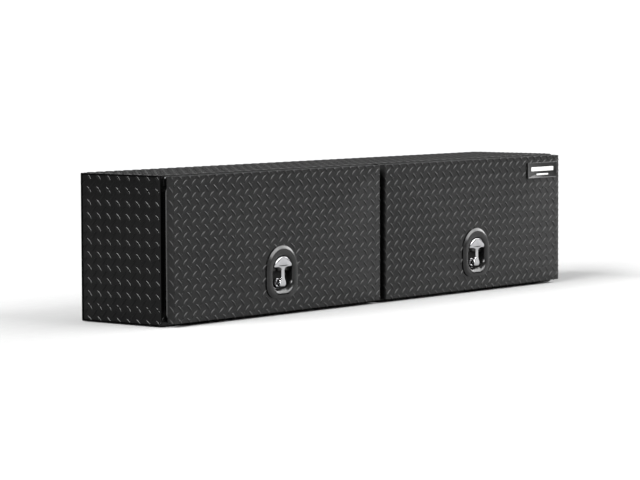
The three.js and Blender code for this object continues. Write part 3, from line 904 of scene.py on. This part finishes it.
def latch_hub(name):
    """A dished collar low in the well, a tongue for the handle's pin, and the shaft through the door."""
    node, pin_node = f"{name}_latch_hub", f"{name}_handle_pin"
    lo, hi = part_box(node)
    pin = middle(pin_node)
    x = (lo.x + hi.x) / 2
    radius, shaft = (hi.x - lo.x) / 2, 7 * MM
    floor = high(f"{name}_latch_pan").y - 2.3 * MM
    front, dish = floor - 4.7 * MM, floor - 2.7 * MM
    lip, chamfer = 1.5 * MM, 0.8 * MM
    rim = radius - lip
    profile = [(0, dish), (radius * 0.42, dish), (radius * 0.62, dish - 0.3 * MM),
               (radius * 0.72, dish - 1.1 * MM)]
    profile += [(rim + lip * math.cos(t), front + lip - lip * math.sin(t))
                for t in (math.pi * (1 - i / 8) for i in range(9))]
    profile += [(radius, floor), (shaft, floor), (shaft, hi.y - chamfer), (shaft - chamfer, hi.y), (0, hi.y)]
    made = Builder()
    revolve(made, Vector((x, 0, LATCH_Z)), Y, profile, 48)
    made.piece(f"{name}_hub_collar", CHROME, f"{name}_hub", [node], "chrome", sharp=40)
    made = Builder()
    half, root = 4.4 * MM, dish + 1 * MM
    nose = [(pin.y - half * math.cos(t), pin.z + half * math.sin(t))
            for t in map(math.radians, range(-90, 91, 15))]
    outline = nose + [(root, LATCH_Z + half), (root, LATCH_Z - half)]
    plate_with_hole(made, x - half, x + half, outline, (pin.y, pin.z), PIN_HOLE)
    made.piece(f"{name}_hub_tongue", CHROME, f"{name}_hub", slot="chrome")
    made = Builder()
    tube(made, low(pin_node).x, high(pin_node).x, pin, PIN, steps=24)
    made.piece(f"{name}_handle_rod", ZINC, f"{name}_hub", [pin_node], "steel")


def plate_with_hole(made, x0, x1, outline, hole_centre, radius, soften=0.3 * MM):
    """A plate across X whose (y, z) outline has a round hole, with its outline's edges softened."""
    mid_y = sum(p[0] for p in outline) / len(outline)
    mid_z = sum(p[1] for p in outline) / len(outline)

    def shrunk(by):
        out = []
        for y, z in outline:
            away = Vector((y - mid_y, z - mid_z))
            keep = 1 - by / max(away.length, 1e-6)
            out.append((mid_y + away.x * keep, mid_z + away.y * keep))
        return out

    hole = [(hole_centre[0] + radius * math.cos(t), hole_centre[1] + radius * math.sin(t))
            for t in full_turn(20)]
    stack = [(x0, soften), (x0 + soften, 0), (x1 - soften, 0), (x1, soften)]
    rings = made.loft([[Vector((x, y, z)) for y, z in shrunk(by)] for x, by in stack], False, False)
    ends = [made.ring([Vector((x, y, z)) for y, z in hole]) for x in (x0, x1)]
    made.bridge(ends[0], ends[1])
    made.fill(rings[0], ends[0])
    made.fill(rings[-1], ends[1])


CAP = dict(half=38 * MM, bottom=136 * MM, shoulder=140 * MM, top=163.5 * MM)
STEM_HALF, FOOT_HALF, FOOT_BOTTOM = 6.6 * MM, 13.4 * MM, 81 * MM
NECK_FILLET = 9 * MM


def handle_half_width(z):
    """Half the handle's width at a height: domed cap, fillets, narrow stem and wider foot."""
    rise = CAP["top"] - CAP["shoulder"]
    radius = (CAP["half"] ** 2 + rise ** 2) / (2 * rise)
    if z >= CAP["shoulder"]:
        return math.sqrt(max(radius ** 2 - (z - CAP["top"] + radius) ** 2, 0))
    if z >= CAP["bottom"]:
        t = (z - CAP["bottom"]) / (CAP["shoulder"] - CAP["bottom"])
        return CAP["half"] - 2 * MM * (1 - t) ** 2
    if z >= CAP["bottom"] - NECK_FILLET:
        t = max((z - CAP["bottom"] + NECK_FILLET) / NECK_FILLET, 0)
        return STEM_HALF + (CAP["half"] - 2 * MM - STEM_HALF) * (1 - math.sqrt(max(1 - t ** 2.2, 0))) ** 1.1
    t = min(max((z - FOOT_BOTTOM - 6 * MM) / (22 * MM), 0), 1)
    width = FOOT_HALF + (STEM_HALF - FOOT_HALF) * (t * t * (3 - 2 * t))
    corner = 5 * MM
    if z < FOOT_BOTTOM + corner:
        s = (FOOT_BOTTOM + corner - z) / corner
        width -= corner * (1 - math.sqrt(max(1 - s * s, 0)))
    return width


def handle_front(z):
    """How far the handle's face is set back from its foremost point at a height."""
    if z >= CAP["bottom"]:
        t = (z - CAP["bottom"]) / (CAP["top"] - CAP["bottom"])
        return 0.6 * MM * max(t - 0.3, 0) ** 2 / 0.7 ** 2 + 0.5 * MM * max(0.3 - t, 0) / 0.3
    neck = 1.6 * MM
    t = min((CAP["bottom"] - z) / (12 * MM), 1)
    foot = min(max((z - FOOT_BOTTOM) / (7 * MM), 0), 1)
    return 0.9 * MM + (neck - 0.9 * MM) * t + 1.6 * MM * (1 - foot) ** 2


def latch_handle(name):
    node = f"{name}_latch_handle"
    lo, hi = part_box(node)
    pin = middle(f"{name}_handle_pin")
    x = (lo.x + hi.x) / 2
    front = lo.y
    bottom, top = CAP["bottom"], CAP["top"]
    # Each height, and how many rings stand between it and the next.
    stations = ((FOOT_BOTTOM, 7), (FOOT_BOTTOM + 5 * MM, 12), (bottom - 12 * MM, 14), (bottom - 0.5 * MM, 12),
                (bottom + 6 * MM, 12), (top - 3 * MM, 7), (top - 0.1 * MM, 0))
    heights = []
    for (start, steps), (end, _) in zip(stations, stations[1:]):
        heights += [start + (end - start) * i / steps for i in range(steps)]
    heights.append(top - 0.05 * MM)
    around, power = 40, 2.8
    rings = []
    for z in heights:
        half = max(handle_half_width(z), 0.6 * MM)
        face = front + handle_front(z)
        cap_share = min(max((z - bottom + 3 * MM) / (4 * MM), 0), 1)
        thick = 4.2 * MM + 1.4 * MM * cap_share
        if z > top - 7 * MM:
            thick *= math.sqrt(max(1 - ((z - top + 7 * MM) / (7.6 * MM)) ** 2, 0.05))
        if z < FOOT_BOTTOM + 2 * MM:
            thick *= math.sqrt(max(1 - ((FOOT_BOTTOM + 2 * MM - z) / (2.3 * MM)) ** 2, 0.1))
        ring = []
        for t in full_turn(around):
            c, s = math.cos(t), math.sin(t)
            px = math.copysign(abs(c) ** (2 / power), c) * half
            py = math.copysign(abs(s) ** (2 / power), s) * thick / 2
            ring.append(Vector((x + px, face + thick / 2 + py, z)))
        rings.append(ring)
    made = Builder()
    made.loft(rings)
    slot_half = 5.1 * MM
    cheek_top, cheek_back = LATCH_Z + 9 * MM, hi.y
    for side in (-1, 1):
        x0, x1 = sorted((x + side * slot_half, x + side * (FOOT_HALF - FIT)))
        outline = rounded_rect(front + 3.4 * MM, FOOT_BOTTOM + 0.6 * MM, cheek_back, cheek_top, 4 * MM, 5)
        plate_with_hole(made, x0, x1, outline, (pin.y, pin.z), PIN_HOLE, 0.5 * MM)
    made.piece(f"{name}_t_handle", CHROME, f"{name}_handle", [node], "chrome", sharp=50)
    # A dark lens on the cap stands in as the painted shadow of a groove.
    painted_groove_shade(name, x, front)


def painted_groove_shade(name, x, front):
    """A thin gloss-black lens set into the handle's cap face, pointed at both ends, near its lower edge:
    painted shade where a groove's shadow would fall.
    """
    z = CAP["bottom"] + 3 * MM
    half, tall, proud = 23 * MM, 1.9 * MM, 0.08 * MM
    rings = []
    for i in range(1, 20):
        u = -1 + i / 10
        rise = tall * (1 - u * u)
        centre = Vector((x + u * half, front + handle_front(z) - proud, z + 0.8 * MM * u * u))
        section = ((0, -rise * 0.6), (0, rise * 0.6), (0.3 * MM, rise), (0.9 * MM, rise),
                   (0.9 * MM, -rise), (0.3 * MM, -rise))
        rings.append([centre + Vector((0, dy, dz)) for dy, dz in section])
    made = Builder()
    made.loft(rings)
    made.piece(f"{name}_painted_groove_shade", GLOSS, f"{name}_handle", slot="chrome")


def latch_cam(name):
    node = f"{name}_latch_cam"
    lo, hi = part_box(node)
    x, half = (lo.x + hi.x) / 2, (hi.x - lo.x) / 2
    plane = Plane((0, lo.y, 0), X, Z, Y)
    thick, soften = hi.y - lo.y, 0.4 * MM

    def outline(inset):
        return (arc(x, hi.z - half, half - inset, 0, 180, 16)
                + arc(x, lo.z + half, half - inset, 180, 360, 16))

    hole = arc(x, LATCH_Z, 7.5 * MM, 0, 360, 24)[:-1]
    made = Builder()
    stack = ((soften, 0), (0, soften), (0, thick - soften), (soften, thick))
    rings = made.loft([plane.ring(outline(inset), d) for inset, d in stack], False, False)
    ends = [made.ring(plane.ring(hole, 0)), made.ring(plane.ring(hole, thick))]
    made.bridge(*ends)
    made.fill(rings[0], ends[0])
    made.fill(rings[-1], ends[1])
    made.piece(f"{name}_cam_bar", ZINC, f"{name}_hub", [node], "steel")


def cam_nut(name):
    """A hexagon nut with its corners turned down on both faces."""
    node = f"{name}_cam_nut"
    lo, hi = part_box(node)
    centre = middle(node)
    radius, bore, steps = (hi.x - lo.x) / 2, 7.2 * MM, 48
    turned, chamfer, lead = radius * 0.9, 0.9 * MM, 0.7 * MM

    def ring(y, reach):
        out = []
        for t in full_turn(steps):
            flat = radius * math.cos(math.pi / 6) / math.cos((t + math.pi / 6) % (math.pi / 3) - math.pi / 6)
            r = min(flat, reach)
            out.append(Vector((centre.x + r * math.cos(t), y, centre.z + r * math.sin(t))))
        return out

    def bore_ring(y, r):
        return [Vector((centre.x + r * math.cos(t), y, centre.z + r * math.sin(t))) for t in full_turn(steps)]

    made = Builder()
    made.loft([ring(lo.y, turned), ring(lo.y + chamfer, radius), ring(hi.y - chamfer, radius),
               ring(hi.y, turned), bore_ring(hi.y, bore + lead), bore_ring(hi.y - lead, bore),
               bore_ring(lo.y + lead, bore), bore_ring(lo.y, bore + lead)], close=True)
    made.piece(f"{name}_hex_nut", ZINC, f"{name}_hub", [node], "steel", sharp=20)


def strike(name):
    """An angle behind the bottom rail, with two rivets through it."""
    node = f"{name}_strike"
    lo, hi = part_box(node)
    bend = 4 * MM

    def side(inset):
        """One side of the angle's sheet, from the top of its upright leg to the back of its foot."""
        return ([(lo.y + inset, hi.z)] + arc(lo.y + bend, lo.z + bend, bend - inset, 180, 270, 6)
                + [(hi.y, lo.z + inset)])

    made = Builder()
    made.prism_x(side(0) + side(SHEET)[::-1], lo.x, hi.x)
    made.piece(f"{name}_strike_angle", ZINC, "box", [node], "steel")
    plane = Plane((0, lo.y + SHEET, 0), X, Z, -Y)
    x, z = (lo.x + hi.x) / 2, lo.z + 18 * MM
    rivets(f"{name}_strike_rivets", "box", plane, [(x - 20 * MM, z), (x + 20 * MM, z)], 4 * MM, 1.4 * MM)


# ---------- badge ----------
def badge():
    """A thin plate with a raised border and two plain raised bars."""
    lo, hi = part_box("badge_plate")
    plane = Plane((0, lo.y, 0), X, Z, Y)
    thick = hi.y - lo.y
    border, sunk = 2.2 * MM, 0.35 * MM

    def outline(inset):
        return rounded_rect(lo.x + inset, lo.z + inset, hi.x - inset, hi.z - inset, 4 * MM - inset * 0.6, 6)

    stack = ((0, thick), (0, 0.4 * MM), (0.4 * MM, 0), (border, 0), (border + 0.5 * MM, sunk))
    made = Builder()
    made.loft([plane.ring(outline(inset), d) for inset, d in stack])
    made.piece("badge_face", GLOSS, "right_door", ["badge_plate"], "badge")
    made = Builder()
    width, tall = hi.x - lo.x, hi.z - lo.z
    # Each bar's sides, as shares of the plate's width and height.
    for (a0, a1), (b0, b1) in (((0.12, 0.88), (0.46, 0.72)), ((0.3, 0.7), (0.2, 0.3))):
        x0, x1 = lo.x + width * a0, lo.x + width * a1
        z0, z1 = lo.z + tall * b0, lo.z + tall * b1

        def bar(inset):
            return rounded_rect(x0 + inset, z0 + inset, x1 - inset, z1 - inset, 1.2 * MM - inset * 0.8, 4)

        made.loft([plane.ring(bar(inset), d) for inset, d in
                   ((0, sunk + 0.1 * MM), (0, 0.15 * MM), (0.3 * MM, 0.02 * MM))])
    made.piece("badge_bars", BADGE_WHITE, "right_door", slot="badge")


# ---------- gas struts ----------
STRUT_EYE = 7 * MM  # from the end of a strut's node to the middle of its ball socket


def strut(name):
    """Tube with rounded shoulders, polished rod and a ball socket at each end."""
    tube_node, rod_node = f"{name}_tube", f"{name}_rod"
    x = (low(tube_node).x + high(tube_node).x) / 2
    base, stud = (Vector((x, *strut_pivot(name, inward))) for inward in (1, -1))
    line = (stud - base).normalized()
    run = (stud - base).length
    radius, bore, rod = 8.5 * MM, 4.4 * MM, 4 * MM
    start, end = 14 * MM, 178 * MM
    shoulder, lip, groove = 3 * MM, 2.5 * MM, radius - 0.7 * MM
    profile = [(radius - across, start + d) for across, d in quarter(shoulder, shoulder, 5)]
    profile += [(radius, end - 9 * MM), (groove, end - 8.4 * MM), (groove, end - 7 * MM),
                (radius, end - 6.4 * MM), (radius, end - lip)]
    profile += [(radius - d, end - across) for across, d in quarter(lip, lip, 5)[1:]]
    profile += [(bore, end), (bore, start + 30 * MM), (0, start + 30 * MM)]
    made = Builder()
    revolve(made, base, line, profile, 32)
    made.piece(f"{name}_cylinder", STRUT_PAINT, tube_node, [tube_node], "strut_tube", sharp=40)
    socket(f"{name}_lower_socket", tube_node, base, line, 15 * MM)
    made = Builder()
    revolve(made, base, line, [(0, 48 * MM), (rod - 0.4 * MM, 48 * MM), (rod, 48.6 * MM), (rod, run - 9 * MM),
                               (0, run - 9 * MM)], 24)
    made.piece(f"{name}_piston_rod", CHROME, rod_node, [rod_node], "chrome", sharp=40)
    socket(f"{name}_upper_socket", rod_node, stud, -line, 16 * MM)


def socket(name, body, centre, line, reach):
    """A ball socket: a round head with flats, and a neck that screws on to the strut."""
    radius, half, chamfer, dent = 6.8 * MM, 4.4 * MM, 0.9 * MM, 0.8 * MM
    neck = 4.6 * MM
    collar = neck + 0.8 * MM
    made = Builder()
    revolve(made, centre, X,
            [(0, -half), (radius - chamfer, -half), (radius, -half + chamfer), (radius, half - chamfer),
             (radius - chamfer, half), (radius * 0.55, half), (radius * 0.5, half - dent),
             (0, half - dent)], 28)
    revolve(made, centre, line,
            [(0, 4 * MM), (neck * 0.9, 4 * MM), (neck, 6 * MM), (neck, reach - 4.5 * MM),
             (collar, reach - 4 * MM), (collar, reach - 1 * MM), (neck, reach - 0.4 * MM),
             (0, reach - 0.4 * MM)], 24)
    made.piece(name, ZINC, body, slot="steel", sharp=40)


def strut_bracket(name, node, body, inward):
    """A bent bracket beside the strut: a round-ended web, a foot on the wall with two bolts, and a stud.

    inward is +1 where the wall is behind the bracket and -1 where it is in front.
    """
    lo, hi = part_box(node)
    tube_x = middle(f"{name}_tube").x
    side = 1 if (lo.x + hi.x) / 2 > tube_x else -1
    near = tube_x + side * 10 * MM
    far = near + side * 25 * MM
    wall, free = (hi.y, lo.y) if inward > 0 else (lo.y, hi.y)
    step = -inward
    half, mid = (hi.z - lo.z) / 2, (lo.z + hi.z) / 2

    def path(inset):
        """One side of the bracket's sheet, from the web's free edge to the foot's far edge."""
        return ([(near + side * inset, free)] + bracket_bend(near, wall, side, step, 4.5 * MM, inset)
                + [(far, wall + step * inset)])

    made = Builder()
    made.prism_z(path(0) + path(SHEET)[::-1], lo.z, hi.z)
    start, end = side * near, side * near + SHEET + 0.6 * MM
    revolve(made, Vector((0, free + inward * half * 0.75, mid)), X * side,
            [(0, start), (half * 0.62, start), (half * 0.62, end), (0, end)], 24)
    made.piece(f"{node}_plate", ZINC, body, [node], "steel")
    pivot = strut_pivot(name, inward)
    made = Builder()
    revolve(made, Vector((tube_x + side * 5 * MM, *pivot)), X * side,
            [(0, 0), (3.2 * MM, 0), (3.8 * MM, 0.6 * MM), (3.8 * MM, 2.6 * MM), (5.6 * MM, 3.0 * MM),
             (5.6 * MM, 4.9 * MM), (0, 4.9 * MM)], 24)
    revolve(made, Vector((near + side * SHEET, *pivot)), X * side,
            [(0, 0), (5 * MM, 0), (5 * MM, 2.2 * MM), (4.2 * MM, 2.9 * MM), (0, 2.9 * MM)], 6)
    made.piece(f"{node}_stud", ZINC, body, slot="steel")
    plane = Plane((0, wall + step * SHEET, 0), X, Z, Y * inward)
    places = [(near + side * 17 * MM, mid + rise) for rise in (-6.5 * MM, 6.5 * MM)]
    rivets(f"{node}_bolts", body, plane, places, 3.6 * MM, 1.8 * MM)


def bracket_bend(near, wall, side, step, bend, inset):
    """Points round a bracket's bend, from its web to its foot."""
    return [(near + side * (bend - across), wall + step * (bend - deep))
            for across, deep in arc(0, 0, bend - inset, 0, 90, 5)]


def strut_pivot(name, inward):
    """The y and z of the strut's pivot at the box (inward is +1) or at the door (-1)."""
    if inward > 0:
        return high(f"{name}_tube").y - STRUT_EYE, low(f"{name}_tube").z + STRUT_EYE
    return low(f"{name}_rod").y + STRUT_EYE, high(f"{name}_rod").z - STRUT_EYE


for side_name, side_sign in SIDES:
    latch_pan(side_name)
    latch_gasket(side_name)
    latch_hub(side_name)
    latch_handle(side_name)
    latch_cam(side_name)
    cam_nut(side_name)
    strike(side_name)
    for strut_name in (f"{side_name}_outer_strut", f"{side_name}_inner_strut"):
        strut(strut_name)
        strut_bracket(strut_name, f"{strut_name}_base", "box", 1)
        strut_bracket(strut_name, f"{strut_name}_arm", f"{side_name}_door", -1)
badge()


# ---------- floor, light and camera ----------
def floor():
    """A pale round floor whose far edge turns up a little."""
    material = surface("pale_floor", (0.268,) * 3, 0.0, 0.8, (6, 3), ((0.266,) * 3, (0.27,) * 3),
                       (30, 4), (0.75, 0.85))
    made = Builder()
    under, base = -0.4 * MM, -0.2
    revolve(made, Vector((0, 0, 0)), Z,
            [(0, under), (2, under), (12, under), (16, under), (19, 0.09), (22, 0.35), (25, 0.75),
             (28, 1.25), (31, 1.85), (31.2, 1.85), (31.2, base), (0, base)], 96)
    mesh = bpy.data.meshes.new("floor")
    bmesh.ops.recalc_face_normals(made.bm, faces=made.bm.faces)
    made.bm.to_mesh(mesh)
    made.bm.free()
    mesh.materials.append(material)
    for polygon in mesh.polygons:
        polygon.use_smooth = True
    obj = bpy.data.objects.new("floor", mesh)
    bpy.context.scene.collection.objects.link(obj)


def soft_sun(name, toward, spread_angle, strength):
    """A broad distant light that comes from the given direction."""
    lamp = bpy.data.lights.new(name, "SUN")
    lamp.angle = math.radians(spread_angle)
    lamp.energy = strength
    obj = bpy.data.objects.new(name, lamp)
    obj.rotation_mode = "QUATERNION"
    obj.rotation_quaternion = (-Vector(toward)).to_track_quat("-Z", "Y")
    bpy.context.scene.collection.objects.link(obj)


def world(level):
    made = bpy.data.worlds.new("studio")
    made.use_nodes = True
    background = made.node_tree.nodes["Background"]
    background.inputs["Color"].default_value = (1, 1, 1, 1)
    background.inputs["Strength"].default_value = level
    bpy.context.scene.world = made


def camera():
    """Looks at the box from its left front, a little above the doors' middle."""
    azimuth, elevation, roll = map(math.radians, (50.721, 3.976, 0.227))
    target = Vector((-245.4, FRONT_Y / MM, 196.2)) * MM
    distance = 7.8023
    forward = Vector((math.sin(azimuth) * math.cos(elevation), math.cos(azimuth) * math.cos(elevation),
                      -math.sin(elevation)))
    data = bpy.data.cameras.new("camera")
    data.sensor_width = 36
    data.lens = 154.35
    data.clip_start, data.clip_end = 0.1, 100
    obj = bpy.data.objects.new("camera", data)
    right = Vector((math.cos(azimuth), -math.sin(azimuth), 0))
    up = right.cross(forward)
    turned_right = right * math.cos(roll) - up * math.sin(roll)
    turned_up = right * math.sin(roll) + up * math.cos(roll)
    obj.matrix_world = Matrix.Translation(target - forward * distance) @ Matrix(
        (turned_right, turned_up, -forward)).transposed().to_4x4()
    bpy.context.scene.collection.objects.link(obj)
    bpy.context.scene.camera = obj


floor()
world(0.33)
soft_sun("overhead", (0.3, -0.76, 0.58), 36, 4.2)
soft_sun("left_high", (-0.75, 0.18, 0.63), 23, 6.0)
soft_sun("left_low", (-0.9, -0.15, 0.42), 23, 6.0)
soft_sun("right_high", (0.76, -0.38, 0.52), 42, 3.4)
soft_sun("right_side", (0.94, 0.04, 0.33), 26, 1.2)
camera()
bpy.context.scene.view_settings.view_transform = "Standard"
